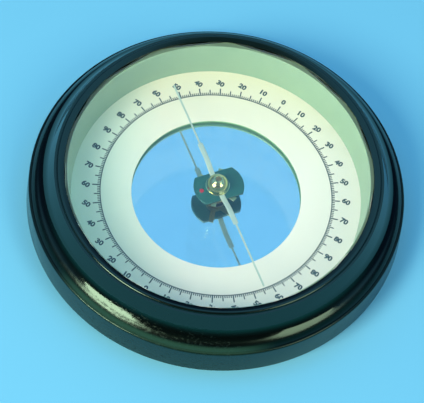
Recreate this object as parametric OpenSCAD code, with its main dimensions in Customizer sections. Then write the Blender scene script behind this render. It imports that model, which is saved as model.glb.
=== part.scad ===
// Compass box of a deflection magnetometer: a moulded black case with a stepped rim,
// a top ring over a cut glass cover, a pale wall ring, a printed scale ring round a mirror,
// and a short magnet with a long pointer that turns on a steel point.
// Millimetres, +Z up. The origin is the centre of the face that the case stands on.
// +Y runs from the centre to the zero of the scale beside which the numerals stand upright.

/* [Case] */
// Radius of the case at its foot
foot_r = 81.35; // [80:0.05:84]
// Radius of the skirt where its rounded shoulder starts
skirt_top_r = 80.7; // [80.2:0.05:81]
// Height of the centre of the skirt's shoulder
shoulder_z = 12.1; // [11:0.1:13]
// Radius of the skirt's shoulder
shoulder_round = 1.0; // [0.6:0.1:1.2]
// Radius of the convex half of the moulding above the skirt
bead_round = 6.8; // [6:0.1:7.5]
// Slope angle of the moulding's surface normal where it meets the skirt
bead_foot_angle = 20; // [15:1:25]
// Steepest angle of the surface normal, where the moulding turns from convex to concave
ogee_angle = 59; // [55:1:62]
// Radius of the hollow half of the moulding
cove_round = 11; // [9:0.5:12]
// Angle of the upper wall's surface normal above the horizontal
wall_angle = 25; // [20:1:28]
// Height of the end of the case wall, under the top ring
wall_top_z = 26.35; // [26:0.05:27]
// Thickness of the moulded walls
wall_t = 2.7; // [2:0.1:3]
// Height of the hidden floor's underside above the table
floor_gap = 0.6; // [0.4:0.1:1]
// Height of the top of the floor
floor_top_z = 3.0; // [2.6:0.1:3.2]
// Number of stiffening ribs in the hollow under the rim
rib_count = 12; // [8:4:24]
// Thickness of each rib
rib_t = 1.6; // [1:0.1:2]

/* [Top ring] */
// Outer radius of the top ring
ring_r = 69.2; // [69:0.05:69.8]
// Radius of the ring's crest
ring_crest_r = 68.0; // [67.5:0.05:68.4]
// Height of the ring's crest, the highest point of the instrument
ring_top_z = 27.2; // [27:0.05:27.6]
// Radius of the opening inside the ring's lip
lip_r = 65.7; // [65.4:0.05:66]
// Height of the underside of the lip
lip_under_z = 26.0; // [25.95:0.05:26.1]
// Inner radius of the sleeve that plugs into the case
sleeve_r = 67.3; // [67.2:0.05:67.5]
// Wall thickness of that sleeve
sleeve_t = 1.1; // [0.9:0.1:1.3]
// Height of the lower end of the sleeve
sleeve_foot_z = 23.6; // [23.45:0.05:24]

/* [Glass] */
// Number of sides that the cover was cut to
glass_sides = 13; // [11:1:16]
// Radius to the corners between the straight cuts
glass_corner_r = 67.4; // [66:0.1:67.6]
// Radius that the corners were nipped back to
glass_r = 67.0; // [66.6:0.05:67.1]
// Direction of one corner of the glass
glass_phase = 7.5; // [0:0.5:27]
// Thickness of the glass
glass_t = 2.5; // [2:0.1:2.55]
// Depth of the top of the sealing compound below the top of the glass
seal_drop = 0.35; // [0.1:0.05:0.6]

/* [Wall ring] */
// Inner radius of the pale wall ring where it stands on the scale
liner_foot_r = 62.5; // [61.5:0.1:63]
// Inner radius of the wall ring under the glass
liner_top_r = 64.4; // [63.5:0.1:64.6]
// Outer radius of the wall ring
liner_r = 67.2; // [67:0.05:67.25]
// Height of the top of the wall ring, which carries the glass
liner_top_z = 23.4; // [23.2:0.1:23.4]
// Thickness of the wall ring's web and flanges
liner_t = 1.3; // [1:0.1:1.5]

/* [Scale and mirror] */
// Radius of the hole in the scale ring, which bares the mirror
scale_hole_r = 36.6; // [35:0.1:38]
// Outer radius of the scale ring, which the wall ring covers
scale_r = 67.1; // [66.5:0.1:67.2]
// Thickness of the scale ring
scale_t = 1.2; // [0.8:0.1:1.4]
// Thickness of the mirror
mirror_t = 2.0; // [1.5:0.1:2.2]
// Radius of the hole in the mirror for the pivot screw
mirror_hole_r = 2.2; // [1.8:0.1:2.6]
// Radius of the soft packing disc under the mirror
packing_r = 65; // [55:1:67]

/* [Pivot] */
// Height of the tip that the needle turns on
tip_z = 16.3; // [16:0.05:16.6]
// Radius of the steel point's shank
point_r = 0.6; // [0.5:0.05:0.7]
// Half angle of the steel point's cone
point_half_angle = 20; // [15:1:22]
// Radius of the pivot post's upper length
post_r = 1.2; // [1.1:0.05:1.4]
// Radius of the pivot post's foot flange
post_foot_r = 4.5; // [4:0.1:6]
// Thickness of the fibre washer between post and mirror
washer_t = 0.4; // [0.3:0.05:0.6]
// Radius of the screw that holds the post from below
screw_r = 1.5; // [1.3:0.1:1.6]
// Radius of that screw's countersunk head
screw_head_r = 3.0; // [2.6:0.1:3.2]

/* [Needle] */
// Direction of the north half of the pointer, measured from +X
pointer_angle = 143.4; // [0:0.1:359.9]
// Length of the pointer from the centre to each end
pointer_l = 52.8; // [50:0.1:55]
// Height of the underside of the pointer's level outer lengths
pointer_z = 14.5; // [14.3:0.1:14.7]
// Thickness of the pointer
pointer_t = 0.3; // [0.3:0.05:0.5]
// Distance from the centre to where the pointer starts to rise
crank_foot = 6.5; // [6:0.1:7.5]
// Distance from the centre to where the pointer is level again
crank_top = 13.2; // [12.4:0.1:13.4]
// Distance from the centre to the step where the pointer narrows
pointer_step = 21.1; // [18:0.1:24]
// Width of the pointer from the cap to its step
pointer_w = 2.3; // [1.6:0.1:2.4]
// Width of the thin outer arms
arm_w = 0.85; // [0.5:0.05:0.9]
// Distance across the rounded ends of the magnet
magnet_l = 21.8; // [21:0.1:25]
// Width of the magnet between its straight sides
magnet_w = 13.8; // [11:0.1:14]
// Distance that the magnet's middle lies off the pivot, away from the red dot
magnet_shift = 0.7; // [0:0.1:0.9]
// Thickness of the magnet
magnet_t = 1.2; // [1:0.1:1.4]
// Height of the top of the magnet
magnet_top_z = 12.5; // [12.3:0.1:12.7]
// Distance from the centre to the red enamel dot on the magnet
mark_offset = 7.3; // [6.5:0.1:9]
// Radius of the red dot
mark_r = 1.0; // [0.6:0.1:1.2]
// Radius of the rim of the brass cap
cap_r = 5.2; // [4.8:0.05:5.5]
// Height of the brass dome above its rim
dome_h = 4.85; // [4.3:0.05:4.9]
// Radius of the collar on top of the dome
collar_r = 1.9; // [1.7:0.05:2.1]
// Height of the collar above the dome
collar_h = 0.25; // [0.2:0.05:1]
// Radius of the agate bearing
jewel_r = 1.35; // [1.1:0.05:1.4]

/* [Hidden] */

$fn = 96;
slip = 0.05;
nothing = 0.01;

// Outline of the case, from the shoulder of the skirt inwards and upwards
shoulder_r = skirt_top_r - shoulder_round;
bead_foot = [shoulder_r - 0.1, shoulder_z + shoulder_round - 0.05];
bead_c = bead_foot - bead_round * [cos(bead_foot_angle), sin(bead_foot_angle)];
ogee = bead_c + bead_round * [cos(ogee_angle), sin(ogee_angle)];
cove_c = ogee + cove_round * [cos(ogee_angle), sin(ogee_angle)];
wall_foot = cove_c - cove_round * [cos(wall_angle), sin(wall_angle)];
wall_top_r = wall_foot.x - (wall_top_z - wall_foot.y) * tan(wall_angle);
foot_edge = 0.3;

// Hollows of the case
socket_r = liner_r + slip;
counterbore_r = sleeve_r + sleeve_t + slip;
tub_r = socket_r + wall_t;
channel_r = foot_r - wall_t;
channel_top = ogee - (wall_t + 0.4) * [cos(ogee_angle), sin(ogee_angle)];
channel_peak_z = wall_foot.y - wall_t;

// Stack from the floor up to the glass
packing_t = 0.5;
mirror_z = floor_top_z + packing_t;
mirror_top_z = mirror_z + mirror_t;
scale_top_z = mirror_top_z + scale_t;
glass_top_z = liner_top_z + glass_t;
disc_r = scale_r - 0.1;

// Pivot
post_foot_z = mirror_top_z + washer_t;
post_foot_t = 1.2;
post_top_z = 13.7;
post_waist_r = 2.0;
post_waist_z = post_foot_z + post_foot_t + 1.6;
post_neck_z = post_waist_z + 1.8;
point_foot_z = post_neck_z + 0.6;
point_cone_h = point_r / tan(point_half_angle);
screw_tip_z = post_foot_z + 3.2;
screw_head_z = floor_gap + 0.1;
slot_w = 0.8;
slot_d = 0.7;

// Needle
hub_r = 2.4;
hub_bore_r = 2.0;
hub_flange_t = 0.4;
spacer_r = 3.2;
spacer_t = 0.2;
pointer_hub_z = magnet_top_z + spacer_t;
cap_foot_z = pointer_hub_z + pointer_t;
magnet_z = magnet_top_z - magnet_t;
clip_t = 0.35;
clip_z = magnet_z - clip_t;
clip_w = 2.2;
clip_overhang = 1.2;
clip_spread = 32;
hub_lip_t = 0.4;
hub_lip_r = 3.1;
pointer_boss_r = 5.0;
mark_t = 0.12;

// Brass cap: a spherical dome with a thin rim, open below
rim_t = 0.3;
dome_t = 0.5;
dome_r = cap_r - 0.3;
hub_flange_r = dome_r - dome_t - 0.1;
dome_z = cap_foot_z + rim_t;
dome_round = (dome_r * dome_r + dome_h * dome_h) / (2 * dome_h);
dome_c = dome_z + dome_h - dome_round;
dome_top_z = dome_z + dome_h;
collar_top_z = dome_top_z + collar_h;
jewel_foot_z = tip_z - 1.0;
jewel_top_z = collar_top_z - 0.2;
cup_r = 0.9;
cup_top_z = tip_z + slip;

// Disc or ring of outer radius r, from height z, with a hole of radius hole
module disc(r, z, h, hole = 0) {
    translate([0, 0, z])
        difference() {
            cylinder(r = r, h = h);
            if (hole > 0)
                translate([0, 0, -1]) cylinder(r = hole, h = h + 2);
        }
}

// Outline of the glass: straight cuts all round, with the corners between them nipped off
module glass_outline() {
    step = 360 / glass_sides;
    intersection() {
        polygon([for (i = [0 : glass_sides - 1])
            glass_corner_r * [cos(glass_phase + i * step), sin(glass_phase + i * step)]]);
        circle(r = glass_r, $fn = 720);
    }
}

// Half section of the outside of the case: skirt, shoulder, ogee moulding and wall
module case_outline() {
    difference() {
        union() {
            polygon([
                [0, 0], [foot_r - foot_edge, 0], [foot_r, foot_edge],
                [skirt_top_r, shoulder_z], [shoulder_r, shoulder_z + shoulder_round],
                bead_foot, ogee, wall_foot, [wall_top_r, wall_top_z], [0, wall_top_z]
            ]);
            translate([shoulder_r, shoulder_z]) circle(r = shoulder_round);
            translate(bead_c) circle(r = bead_round);
        }
        translate(cove_c) circle(r = cove_round);
    }
}

// Half section of the hollow under the rim, between the skirt and the inner tub
module channel_section() {
    polygon([
        [tub_r, -1], [channel_r, -1], [channel_r, floor_gap],
        [skirt_top_r - wall_t, shoulder_z - 1], channel_top,
        [tub_r + 0.9, channel_peak_z], [tub_r, channel_peak_z]
    ]);
}

module rim_ribs() {
    for (i = [0 : rib_count - 1])
        rotate([0, 0, (i + 0.5) * 360 / rib_count])
            translate([tub_r - 1, -rib_t / 2, floor_gap])
                cube([channel_r - tub_r + 2, rib_t, wall_top_z]);
}

module case_body() {
    color("#101614")
    difference() {
        rotate_extrude() case_outline();
        disc(socket_r, floor_top_z, wall_top_z);
        disc(counterbore_r, sleeve_foot_z - slip, wall_top_z);
        disc(tub_r + nothing, -1, floor_gap + 1);
        disc(screw_r + 0.1, -1, floor_top_z + 2);
        translate([0, 0, screw_head_z])
            cylinder(r1 = screw_head_r + 0.1, r2 = screw_r + 0.1, h = screw_head_r - screw_r);
        disc(screw_head_r + 0.1, -1, screw_head_z + 1);
        difference() {
            rotate_extrude() channel_section();
            rim_ribs();
        }
    }
}

// Half section of the top ring: rounded crest, sloping lip and a sleeve
module ring_section() {
    crest_round = ring_r - ring_crest_r;
    lip_round = 0.25;
    hull() {
        translate([ring_crest_r, ring_top_z - crest_round]) circle(r = crest_round);
        translate([lip_r + lip_round, lip_under_z + lip_round]) circle(r = lip_round);
    }
}

module top_ring() {
    color("#0d1312") {
        difference() {
            rotate_extrude() ring_section();
            disc(ring_r + 1, 0, lip_under_z);
            difference() {
                disc(ring_r + 1, 0, wall_top_z);
                disc(counterbore_r - slip, 0, wall_top_z + 1);
            }
        }
        disc(sleeve_r + sleeve_t, sleeve_foot_z, wall_top_z - sleeve_foot_z, sleeve_r);
    }
}

module glass_cover() {
    color("#dff5ea", 0.35)
        translate([0, 0, liner_top_z]) linear_extrude(glass_t) glass_outline();
}

// Black compound in the gap between the straight cuts of the glass and the round socket
module glass_seal() {
    color("#0b0f0e")
        translate([0, 0, liner_top_z])
            linear_extrude(glass_t - seal_drop)
                difference() {
                    circle(r = socket_r, $fn = 720);
                    glass_outline();
                }
}

module wall_ring() {
    color("#e9efe4")
    rotate_extrude()
        polygon([
            [liner_foot_r, scale_top_z], [liner_r, scale_top_z], [liner_r, scale_top_z + liner_t],
            [liner_foot_r + liner_t + 0.3, scale_top_z + liner_t],
            [liner_top_r + liner_t - 0.2, liner_top_z - liner_t], [liner_r, liner_top_z - liner_t],
            [liner_r, liner_top_z], [liner_top_r, liner_top_z]
        ]);
}

module scale_ring() {
    color("#f1efe2") disc(scale_r, mirror_top_z, scale_t, scale_hole_r);
}

module mirror_disc() {
    color("#9fc6e8") disc(disc_r, mirror_z, mirror_t, mirror_hole_r);
}

module mirror_packing() {
    color("#4d6b52") disc(packing_r, floor_top_z, packing_t, mirror_hole_r + 1);
}

module pivot_screw() {
    color("#b8923a")
    difference() {
        union() {
            disc(screw_r, screw_head_z, screw_tip_z - screw_head_z);
            translate([0, 0, screw_head_z])
                cylinder(r1 = screw_head_r, r2 = screw_r, h = screw_head_r - screw_r);
        }
        translate([-screw_head_r - 1, -slot_w / 2, screw_head_z - 1])
            cube([2 * screw_head_r + 2, slot_w, slot_d + 1]);
    }
}

module post_washer() {
    color("#7a3b24") disc(post_foot_r + 0.3, mirror_top_z, washer_t, mirror_hole_r);
}

module pivot_post() {
    color("#c9a145")
    rotate_extrude()
        polygon([
            [screw_r, post_foot_z], [post_foot_r - 0.2, post_foot_z],
            [post_foot_r, post_foot_z + 0.2], [post_foot_r, post_foot_z + post_foot_t - 0.3],
            [post_foot_r - 0.3, post_foot_z + post_foot_t],
            [post_waist_r, post_foot_z + post_foot_t], [post_waist_r, post_waist_z],
            [post_r, post_neck_z], [post_r, post_top_z - 0.4], [post_r - 0.4, post_top_z],
            [point_r, post_top_z], [point_r, point_foot_z], [0, point_foot_z],
            [0, screw_tip_z], [screw_r, screw_tip_z]
        ]);
}

module pivot_point() {
    color("#aab2b8") {
        disc(point_r, point_foot_z, tip_z - point_cone_h - point_foot_z);
        translate([0, 0, tip_z - point_cone_h])
            cylinder(r1 = point_r, r2 = 0.04, h = point_cone_h);
    }
}

// Everything on the needle is drawn with the pointer along X and the magnet along Y
module needle_rest() {
    rotate([0, 0, pointer_angle]) children();
}

module magnet_bar() {
    color("#24413c")
    needle_rest()
    difference() {
        intersection() {
            translate([0, -magnet_shift, 0]) disc(magnet_l / 2, magnet_z, magnet_t);
            translate([-magnet_w / 2, -magnet_l, magnet_z])
                cube([magnet_w, 2 * magnet_l, magnet_t]);
        }
        disc(hub_r, magnet_z - 1, magnet_t + 2);
    }
}

module pole_mark() {
    color("#c41218")
        needle_rest() translate([0, mark_offset, 0]) disc(mark_r, magnet_top_z, mark_t);
}

// Cross of two thin straps under the magnet, with tabs that show beyond its sides
module magnet_clip() {
    strap_l = magnet_w + 2 * clip_overhang;
    color("#b99a4a")
    needle_rest()
    difference() {
        union() {
            disc(hub_lip_r + 0.9, clip_z, clip_t);
            for (a = [-clip_spread, clip_spread])
                rotate([0, 0, a])
                    translate([-strap_l / 2 / cos(a), -clip_w / 2, clip_z])
                        cube([strap_l / cos(a), clip_w, clip_t]);
        }
        disc(hub_r, clip_z - 1, clip_t + 2);
    }
}

// Brass tube that clamps pointer, washer, magnet and clip between its two flanges
module hub_tube() {
    foot_z = clip_z - hub_lip_t;
    color("#c9a145") {
        disc(hub_r, foot_z, cap_foot_z + hub_flange_t - foot_z, hub_bore_r);
        disc(hub_lip_r, foot_z, hub_lip_t, hub_bore_r);
        disc(hub_flange_r, cap_foot_z, hub_flange_t, hub_bore_r);
    }
}

// Thin washer between magnet and pointer
module hub_spacer() {
    color("#bd953c") disc(spacer_r, magnet_top_z, spacer_t, hub_r);
}

// Plan of the pointer: a broad middle that ends squarely, and a thin pointed arm at each end
module pointer_plan() {
    square([2 * pointer_step, pointer_w], center = true);
    square([2 * pointer_l - arm_w, arm_w], center = true);
    for (side = [-1, 1])
        polygon([
            [side * (pointer_l - arm_w / 2), -arm_w / 2], [side * pointer_l, 0],
            [side * (pointer_l - arm_w / 2), arm_w / 2]
        ]);
}

// Side view of the pointer: flat under the cap, cranked up on both sides, then level
module pointer_side() {
    half = [[crank_foot, pointer_hub_z], [crank_top, pointer_z], [pointer_l + 1, pointer_z]];
    under = concat([for (i = [2 : -1 : 0]) [-half[i].x, half[i].y]], half);
    polygon(concat(under, [for (i = [5 : -1 : 0]) under[i] + [0, pointer_t]]));
}

module pointer() {
    color("#d5dde2")
    needle_rest()
    difference() {
        union() {
            intersection() {
                linear_extrude(pointer_z + 1) pointer_plan();
                rotate([90, 0, 0])
                    linear_extrude(2 * pointer_w, center = true) pointer_side();
            }
            disc(pointer_boss_r, pointer_hub_z, pointer_t);
        }
        disc(hub_r, pointer_hub_z - 1, pointer_t + 2);
    }
}

module bearing_cap() {
    color("#d8b24a")
    difference() {
        union() {
            disc(cap_r, cap_foot_z, rim_t);
            intersection() {
                translate([0, 0, dome_c]) sphere(r = dome_round);
                disc(cap_r, cap_foot_z, 2 * dome_h);
            }
            disc(collar_r, dome_top_z - 0.6, collar_h + 0.6);
            disc(collar_r, jewel_foot_z, dome_top_z - jewel_foot_z);
        }
        difference() {
            intersection() {
                translate([0, 0, dome_c]) sphere(r = dome_round - dome_t);
                disc(cap_r, cap_foot_z - 1, 2 * dome_h);
            }
            disc(collar_r, jewel_foot_z, 2 * dome_h);
        }
        disc(jewel_r, jewel_foot_z - 1, 2 * dome_h);
    }
}

// Agate bearing with a conical cup that rides on the steel tip
module cap_jewel() {
    color("#8a5a33")
    rotate_extrude()
        polygon([
            [cup_r, jewel_foot_z], [jewel_r, jewel_foot_z], [jewel_r, jewel_top_z - 0.2],
            [jewel_r - 0.2, jewel_top_z], [0, jewel_top_z], [0, cup_top_z]
        ]);
}

case_body();
top_ring();
glass_cover();
glass_seal();
wall_ring();
scale_ring();
mirror_disc();
mirror_packing();
pivot_screw();
post_washer();
pivot_post();
pivot_point();
magnet_bar();
pole_mark();
magnet_clip();
hub_tube();
hub_spacer();
pointer();
bearing_cap();
cap_jewel();
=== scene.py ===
# %% [markdown]
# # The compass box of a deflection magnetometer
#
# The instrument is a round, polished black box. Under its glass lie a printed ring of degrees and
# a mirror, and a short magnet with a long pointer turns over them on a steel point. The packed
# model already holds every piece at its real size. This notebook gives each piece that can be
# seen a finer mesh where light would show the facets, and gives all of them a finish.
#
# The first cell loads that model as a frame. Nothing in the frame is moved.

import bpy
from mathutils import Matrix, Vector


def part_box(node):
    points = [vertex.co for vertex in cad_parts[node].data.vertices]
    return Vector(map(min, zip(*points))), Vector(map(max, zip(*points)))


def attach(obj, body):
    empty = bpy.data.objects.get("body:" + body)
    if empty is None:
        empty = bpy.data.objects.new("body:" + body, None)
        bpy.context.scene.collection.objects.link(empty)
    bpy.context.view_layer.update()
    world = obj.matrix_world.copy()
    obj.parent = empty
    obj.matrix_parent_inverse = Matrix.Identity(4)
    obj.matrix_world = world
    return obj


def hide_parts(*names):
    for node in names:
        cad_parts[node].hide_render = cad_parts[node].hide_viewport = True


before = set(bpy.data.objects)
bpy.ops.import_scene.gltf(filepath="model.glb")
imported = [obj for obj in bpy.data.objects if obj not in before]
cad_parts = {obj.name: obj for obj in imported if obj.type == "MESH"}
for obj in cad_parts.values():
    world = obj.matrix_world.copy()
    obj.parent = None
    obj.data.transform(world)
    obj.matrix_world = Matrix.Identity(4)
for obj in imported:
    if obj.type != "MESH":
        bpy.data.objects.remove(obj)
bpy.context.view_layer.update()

import math

import bmesh
import bpy
import numpy as np
from mathutils import Matrix

MM = 0.001
print("nodes in the frame:", len(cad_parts))

# %% [markdown]
# Every size below is in millimetres, as on a drawing, and becomes metres only when a mesh is made.
# A size that the frame can tell is read from the box of its node, so that the pieces made here
# stay where the frame has them.

# %% Sizes that the frame can tell
def foot_of(node):
    """Height of the lowest point of a node, in millimetres."""
    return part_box(node)[0].z / MM


def top_of(node):
    """Height of the highest point of a node, in millimetres."""
    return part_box(node)[1].z / MM


def radius_of(node):
    """Largest distance of a round node from the axis, in millimetres."""
    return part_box(node)[1].x / MM


FLOOR_TOP = foot_of("mirror_packing")
MIRROR_FOOT = foot_of("mirror_disc")
MIRROR_TOP = top_of("mirror_disc")
SCALE_TOP = top_of("scale_ring")
GLASS_FOOT = foot_of("glass_cover")
GLASS_TOP = top_of("glass_cover")
SEAL_TOP = top_of("glass_seal")
RING_TOP = top_of("top_ring")
FOOT_R = radius_of("case_body")
SOCKET_R = radius_of("glass_seal")
SCALE_R = radius_of("scale_ring")
print("scale at", round(SCALE_TOP, 2), "mm, top of the glass at", round(GLASS_TOP, 2), "mm")

# %% [markdown]
# ## The camera
#
# The picture was taken from above and in front, with a long lens and a slightly tilted camera.
# A camera is best worked out from things of known shape. Here these are the circle of degree
# marks and the marks themselves. They give the angle, the distance and the lens, so the camera is
# written down as those values and not placed by eye. The focal length and the dial's centre are in
# pixels of the picture, the distance is in millimetres, and the camera sees from NEAREST to
# FARTHEST metres.

# %% Camera
PICTURE_W = 424
PICTURE_H = 403
SENSOR = 36.0
FOCAL_PX = 2331.0
DISTANCE = 1003.2
ELEVATION = math.radians(59.31)
AZIMUTH = math.radians(24.47)
ROLL = math.radians(8.71)
CENTRE_PX = (216.22, 193.95)
NEAREST, FARTHEST = 0.05, 20


def direction(azimuth, elevation):
    """Unit vector from the object towards that azimuth and elevation, both in radians.
    Azimuth 0 is the -Y side, and it grows towards +X."""
    return np.array([
        math.sin(azimuth) * math.cos(elevation),
        -math.cos(azimuth) * math.cos(elevation),
        math.sin(elevation),
    ])


def placed(name, data):
    """A new object of that name that holds the data, put into the scene."""
    made = bpy.data.objects.new(name, data)
    bpy.context.scene.collection.objects.link(made)
    return made


def level_axes(back):
    """Two unit vectors that are square to back and to each other. The first of them is level."""
    level = np.cross([0, 0, 1], back)
    level /= np.linalg.norm(level)
    return level, np.cross(back, level)


def aimed(name, data, right, up, back, place):
    """Object whose own X, Y and Z point along right, up and back, at a place in metres. Cameras
    and lamps look along their own -Z, away from back."""
    made = placed(name, data)
    pose = np.eye(4)
    pose[:3] = np.column_stack([right, up, back, place])
    made.matrix_world = Matrix(pose.tolist())
    return made


def aimed_camera():
    """Camera whose picture puts the dial's centre at CENTRE_PX, turned by ROLL about its axis."""
    back = direction(AZIMUTH, ELEVATION)
    level, upright = level_axes(back)
    right = math.cos(ROLL) * level + math.sin(ROLL) * upright
    up = -math.sin(ROLL) * level + math.cos(ROLL) * upright
    aside = -(CENTRE_PX[0] - PICTURE_W / 2) * DISTANCE / FOCAL_PX
    above = (CENTRE_PX[1] - PICTURE_H / 2) * DISTANCE / FOCAL_PX
    dial = np.array([0, 0, SCALE_TOP])
    place = dial + back * DISTANCE + aside * right + above * up
    data = bpy.data.cameras.new("camera")
    data.sensor_width = SENSOR
    data.lens = FOCAL_PX / PICTURE_W * SENSOR
    data.clip_start, data.clip_end = NEAREST, FARTHEST
    return aimed("camera", data, right, up, back, place * MM)


bpy.context.scene.camera = aimed_camera()
print("lens", round(bpy.context.scene.camera.data.lens, 1), "mm")

# %% [markdown]
# ## From arrays to meshes
#
# Nearly every piece of this instrument is turned, moulded round an axis or cut from sheet. Such a
# surface is a function of two parameters: one runs along a section, the other round the axis or
# along the piece. The helpers below take the points of that function as one array and join
# neighbours to quads. Whether the faces point outwards is read from the sign of the volume that
# they enclose, so a section may be drawn in either sense.

# %% Mesh helpers
SAME_POINT = 1e-7


def grid(points, around=True, along=True):
    """Vertices and quads of a grid of points with shape (rows, columns, 3). around joins the last
    column to the first, along the last row to the first. The faces are turned outwards."""
    rows, columns = points.shape[:2]
    index = np.arange(rows * columns).reshape(rows, columns)
    if around:
        index = np.hstack([index, index[:, :1]])
    if along:
        index = np.vstack([index, index[:1]])
    corners = [index[:-1, :-1], index[:-1, 1:], index[1:, 1:], index[1:, :-1]]
    quads = np.stack(corners, axis=-1).reshape(-1, 4)
    return outwards(points.reshape(-1, 3), quads)


def outwards(vertices, quads):
    """Turns closed quads to face outwards. Their volume is the sum of the tetrahedra that their
    two halves span with the origin, and it is negative where they face inwards."""
    a, b, c, d = (vertices[quads[:, i]] for i in range(4))
    volume = np.sum(a * np.cross(b, c)) + np.sum(a * np.cross(c, d))
    return vertices, (quads if volume > 0 else quads[:, ::-1])


def joined(*shells):
    """One set of vertices and quads from several."""
    starts = np.cumsum([0] + [len(vertices) for vertices, quads in shells[:-1]])
    vertices = np.concatenate([vertices for vertices, quads in shells])
    return vertices, np.concatenate([quads + s for (v, quads), s in zip(shells, starts)])


def spun(shell, degrees):
    """Copies of the shell, turned about the axis to each of those angles, as one shell."""
    vertices, quads = shell
    turn = np.radians(np.asarray(degrees, float))[:, None]
    x, y, z = vertices.T
    moved = np.stack([x * np.cos(turn) - y * np.sin(turn),
                      x * np.sin(turn) + y * np.cos(turn), z + 0 * turn], axis=-1)
    starts = len(vertices) * np.arange(len(turn))[:, None, None]
    return moved.reshape(-1, 3), (quads + starts).reshape(-1, 4)


def capped(points):
    """The rows with one more at both ends, shrunk to the middle of its neighbour, which closes
    the ends."""
    ends = [np.repeat(row.mean(axis=0, keepdims=True), len(row), axis=0)[None]
            for row in (points[0], points[-1])]
    return np.concatenate([ends[0], points, ends[1]])


def piece(name, shell, sharp=35):
    """Object of that name, smooth but for edges that turn by more than sharp degrees. Points
    that meet on the axis, to SAME_POINT metres, are merged, which closes the poles."""
    vertices, quads = shell
    mesh = bpy.data.meshes.new(name)
    mesh.from_pydata((vertices * MM).tolist(), [], quads.tolist())
    body = bmesh.new()
    body.from_mesh(mesh)
    bmesh.ops.remove_doubles(body, verts=body.verts, dist=SAME_POINT)
    body.to_mesh(mesh)
    body.free()
    mesh.shade_smooth()
    mesh.set_sharp_from_angle(angle=math.radians(sharp))
    return placed(name, mesh)


def seat(made, body, slot, finish, *nodes):
    """The piece gets its finish, rides on that body and replaces those nodes. slot is not used."""
    made.data.materials.append(finish)
    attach(made, body)
    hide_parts(*nodes)
    print(made.name, len(made.data.polygons), "faces")
    return made


# %% [markdown]
# A section is a chain of straight runs and arcs. `arc` gives the points of an arc, and `turned`
# swings a section round the axis, as a lathe or a round mould does.

# %% Sections
ROUND = 384


def arc(centre, radius, start, end, steps=12):
    """Points on a circle about centre, at equal angles from start to end degrees."""
    angle = np.radians(np.linspace(start, end, steps))
    return np.asarray(centre) + radius * np.column_stack([np.cos(angle), np.sin(angle)])


def chain(*runs):
    """One section from points and arrays of points, in order."""
    return np.vstack([np.atleast_2d(run) for run in runs]).astype(float)


def flat_ring(hole, outer, low, high):
    """Closed section of a flat ring."""
    return chain((hole, low), (outer, low), (outer, high), (hole, high))


def about_axis(r, angle, z):
    """Points at the distance r from the axis, at an angle in radians and at the height z."""
    return np.stack(np.broadcast_arrays(r * np.cos(angle), r * np.sin(angle), z), axis=-1)


def turned(section, columns=ROUND):
    """Points of a section (distance from the axis, height) turned about the axis."""
    angle = np.linspace(0, 2 * math.pi, columns, endpoint=False)
    return about_axis(section[:, :1], angle, section[:, 1:])


def common_tangent(a, radius_a, b, radius_b, left=True):
    """Direction, in degrees, of the normal of the straight line that touches two circles on the
    same side. It makes the angle acos((radius_a - radius_b) / distance) with the line of centres."""
    apart = np.subtract(b, a)
    lean = math.degrees(math.acos((radius_a - radius_b) / np.hypot(*apart)))
    towards = math.degrees(math.atan2(apart[1], apart[0]))
    return towards + lean if left else towards - lean


# %% [markdown]
# ## Finishes
#
# All colours are written as the hex value that a screen shows. Light adds up on linear values,
# so one function converts them. Each finish is a small tree of nodes, and `add` puts one node
# into it together with its settings and links. A pattern's scale is one over its real size.

# %% Node helpers
def linear(colour):
    """Linear RGBA of an sRGB hex colour. Dark channels are divided by 12.92, and the others
    follow a power of 2.4."""
    value = np.array([int(colour[i:i + 2], 16) for i in (1, 3, 5)]) / 255
    shown = np.where(value <= 0.04045, value / 12.92, ((value + 0.055) / 1.055) ** 2.4)
    return (*shown.tolist(), 1.0)


def per(size):
    """Scale of a pattern whose features have that size in millimetres."""
    return 1 / (size * MM)


def add(tree, kind, inputs=None, **settings):
    """Adds a node. settings are its properties, and inputs gives for a socket's name or number
    either a value or the output that feeds it."""
    node = tree.nodes.new(kind)
    for name, value in settings.items():
        setattr(node, name, value)
    for socket, value in (inputs or {}).items():
        if isinstance(value, bpy.types.NodeSocket):
            tree.links.new(value, node.inputs[socket])
        else:
            node.inputs[socket].default_value = value
    return node


def new_finish(name):
    """An empty material, its tree, and the place on the piece that patterns read."""
    material = bpy.data.materials.new(name)
    material.use_nodes = True
    tree = material.node_tree
    tree.nodes.clear()
    return material, tree, add(tree, "ShaderNodeTexCoord").outputs["Object"]


def side_share(tree, place, azimuth, radius, low, high, most=1.0, **settings):
    """Share that grows towards one side of the instrument. The place's part along the azimuth,
    divided by a radius in millimetres, gives 0 up to low and most from high."""
    towards = (direction(azimuth, 0) / (radius * MM)).tolist()
    along = add(tree, "ShaderNodeVectorMath", {0: place, 1: towards}, operation="DOT_PRODUCT")
    share = add(tree, "ShaderNodeMapRange",
                {"Value": along.outputs["Value"], "From Min": low, "From Max": high,
                 "To Max": most}, **settings)
    return share.outputs["Result"]


# %% [markdown]
# Apart from the glass, no surface of the instrument is one flat colour. Most finishes wander
# between two tones, with perhaps a little unevenness, and `two_toned` ends all of those. Where one
# noise can both mix the tones and be the height of the bump, `mottled_finish` does everything.

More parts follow.
